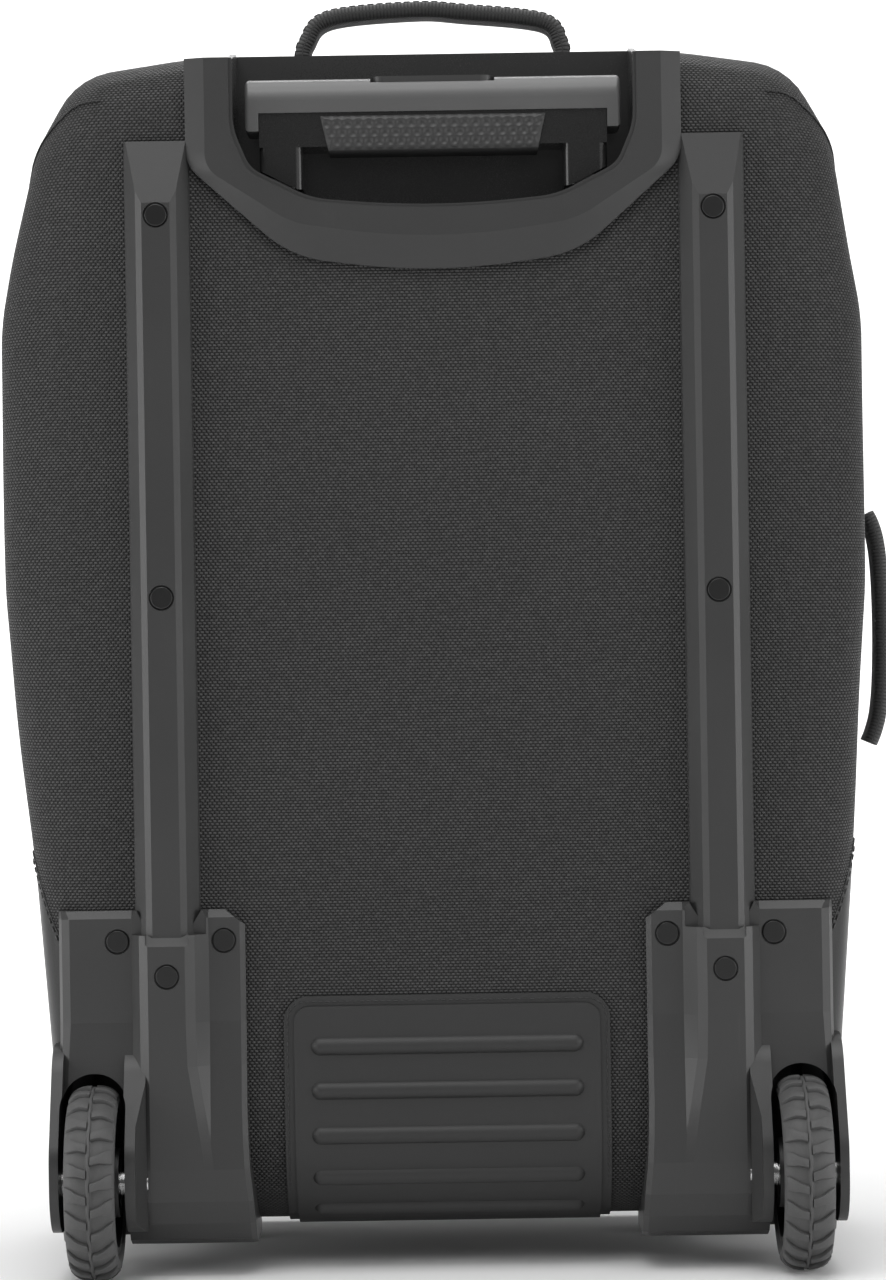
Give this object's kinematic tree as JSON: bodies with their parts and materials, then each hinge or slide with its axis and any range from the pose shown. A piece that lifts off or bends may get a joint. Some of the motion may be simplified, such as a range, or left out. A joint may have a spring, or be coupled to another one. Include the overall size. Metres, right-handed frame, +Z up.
{
  "type": "wheeled skate bag",
  "caption": "Upright wheeled kit bag for skates: soft woven case on a hard back with rails, telescopic grip, zipped lid, front pocket and grab loops.",
  "frame": {"origin": "bottom centre of the whole bag's box, on the floor", "axes": "+X to the right when the hard back is faced, +Y from the hard back towards the lid, +Z up"},
  "size_m": [0.3982, 0.2536, 0.5712],
  "materials": {
    "fabric_body": "coarse woven ballistic polyester, charcoal",
    "fabric_lid": "coarse woven ballistic polyester, charcoal",
    "lining": "plain lining cloth",
    "webbing": "ribbed black webbing",
    "zip_tape": "zip coil and tape",
    "board": "sheet stiffener",
    "shell_plastic": "fine-grained charcoal moulding",
    "tray_plastic": "smooth black moulding",
    "kick_plastic": "matte flexible scuff plate",
    "rivet_paint": "black painted steel",
    "tube_metal": "anodised tube",
    "steel": "zinc-plated steel",
    "zip_metal": "black plated zip hardware",
    "collar_plastic": "smooth black guide bush",
    "grip_upper": "satin black moulding",
    "grip_lower": "gloss black moulding",
    "grip_rubber": "dimpled soft rubber",
    "button_plastic": "satin black push button",
    "tyre_rubber": "moulded tread",
    "hub_plastic": "glass-filled nylon wheel centre",
    "foot_rubber": "moulded foot"
  },
  "bodies": {
    "bag": {"back_panel": "fabric_body", "left_gusset": "fabric_body", "right_gusset": "fabric_body", "top_gusset": "fabric_body", "bottom_gusset": "fabric_body", "back_board": "board", "base_board": "board", "tube_lining": "lining", "handle_bezel": "shell_plastic", "recess_tray": "tray_plastic", "left_rail": "shell_plastic", "right_rail": "shell_plastic", "left_wheel_housing": "shell_plastic", "right_wheel_housing": "shell_plastic", "rivets": "rivet_paint", "rivet_washers": "steel", "kick_plate": "kick_plastic", "left_outer_tube": "tube_metal", "right_outer_tube": "tube_metal", "outer_tube_collars": "collar_plastic", "tube_foot_bracket": "collar_plastic", "axle_bolts": "steel", "axle_spacers": "steel", "top_handle_tabs": "webbing", "side_handle_tabs": "webbing", "front_feet": "foot_rubber", "main_zip_chain_case": "zip_tape", "lid_hinge_tape": "webbing"},
    "middle_stage": {"left_mid_tube": "tube_metal", "right_mid_tube": "tube_metal", "mid_tube_collars": "collar_plastic"},
    "trolley": {"left_inner_tube": "tube_metal", "right_inner_tube": "tube_metal", "grip_upper_shell": "grip_upper", "grip_lower_shell": "grip_lower", "grip_pad": "grip_rubber", "lock_plugs": "collar_plastic"},
    "button": {"release_button": "button_plastic", "push_rods": "steel"},
    "left_pin": {"left_lock_pin": "steel"},
    "right_pin": {"right_lock_pin": "steel"},
    "left_wheel": {"left_tyre": "tyre_rubber", "left_wheel_hub": "hub_plastic", "left_bearings": "steel"},
    "right_wheel": {"right_tyre": "tyre_rubber", "right_wheel_hub": "hub_plastic", "right_bearings": "steel"},
    "lid": {"lid_panel": "fabric_lid", "lid_gusset": "fabric_lid", "main_zip_chain_lid": "zip_tape", "pocket_zip_chain": "zip_tape"},
    "pocket": {"pocket_panel": "fabric_lid"},
    "left_slider": {"left_zip_slider": "zip_metal"},
    "left_pull": {"left_zip_pull": "zip_metal"},
    "right_slider": {"right_zip_slider": "zip_metal"},
    "right_pull": {"right_zip_pull": "zip_metal"},
    "pocket_slider_body": {"pocket_slider": "zip_metal"},
    "pocket_pull_body": {"pocket_pull": "zip_metal"},
    "top_loop": {"top_handle": "webbing"},
    "side_loop": {"side_handle": "webbing"}
  },
  "joints": [
    {"name": "middle_stage_slide", "type": "slide", "parent": "bag", "child": "middle_stage", "axis": [0, 0, 1], "range_m": [0, 0.24]},
    {"name": "grip_slide", "type": "slide", "parent": "middle_stage", "child": "trolley", "axis": [0, 0, 1], "range_m": [0, 0.24]},
    {"name": "button_press", "type": "slide", "parent": "trolley", "child": "button", "axis": [0, 0, -1], "range_m": [0, 0.004], "stiffness_N_per_m": 900},
    {"name": "left_pin_slide", "type": "slide", "parent": "trolley", "child": "left_pin", "axis": [1, 0, 0], "range_m": [0, 0.0012]},
    {"name": "right_pin_slide", "type": "slide", "parent": "trolley", "child": "right_pin", "axis": [-1, 0, 0], "range_m": [0, 0.0012]},
    {"name": "left_wheel_spin", "type": "hinge", "parent": "bag", "child": "left_wheel", "pos_m": [-0.1617, -0.08425, 0.0425], "axis": [1, 0, 0], "continuous": true},
    {"name": "right_wheel_spin", "type": "hinge", "parent": "bag", "child": "right_wheel", "pos_m": [0.1479, -0.08425, 0.0425], "axis": [1, 0, 0], "continuous": true},
    {"name": "lid_hinge", "type": "hinge", "parent": "bag", "child": "lid", "pos_m": [-0.1996, 0.07475, 0.275], "axis": [0, 0, 1], "range_deg": [0, 170]},
    {"name": "pocket_flap", "type": "hinge", "parent": "lid", "child": "pocket", "pos_m": [-0.0069, 0.11505, 0.07], "axis": [-1, 0, 0], "range_deg": [0, 25]},
    {"name": "left_slider_run", "type": "slide", "parent": "bag", "child": "left_slider", "axis": [-1, 0, 0], "range_m": [0, 0.085]},
    {"name": "left_pull_flip", "type": "hinge", "parent": "left_slider", "child": "left_pull", "pos_m": [-0.0149, 0.07475, 0.5437], "axis": [0, 1, 0], "range_deg": [0, 85]},
    {"name": "right_slider_run", "type": "slide", "parent": "bag", "child": "right_slider", "axis": [1, 0, 0], "range_m": [0, 0.085]},
    {"name": "right_pull_flip", "type": "hinge", "parent": "right_slider", "child": "right_pull", "pos_m": [0.0011, 0.07475, 0.5437], "axis": [0, -1, 0], "range_deg": [0, 85]},
    {"name": "pocket_slider_run", "type": "slide", "parent": "lid", "child": "pocket_slider_body", "axis": [0, 0, 1], "range_m": [0, 0.18]},
    {"name": "pocket_pull_flip", "type": "hinge", "parent": "pocket_slider_body", "child": "pocket_pull_body", "pos_m": [0.1391, 0.12005, 0.09], "axis": [1, 0, 0], "range_deg": [0, 85]},
    {"name": "top_loop_lean", "type": "hinge", "parent": "bag", "child": "top_loop", "pos_m": [-0.0069, 0.00975, 0.5442], "axis": [1, 0, 0], "range_deg": [-40, 40]},
    {"name": "side_loop_lean", "type": "hinge", "parent": "bag", "child": "side_loop", "pos_m": [0.1885, 0.00975, 0.28], "axis": [0, 0, 1], "range_deg": [-30, 30]}
  ],
  "couplings": [
    {"joint": "left_pin_slide", "follows": "button_press", "ratio": 0.3},
    {"joint": "right_pin_slide", "follows": "button_press", "ratio": 0.3}
  ]
}
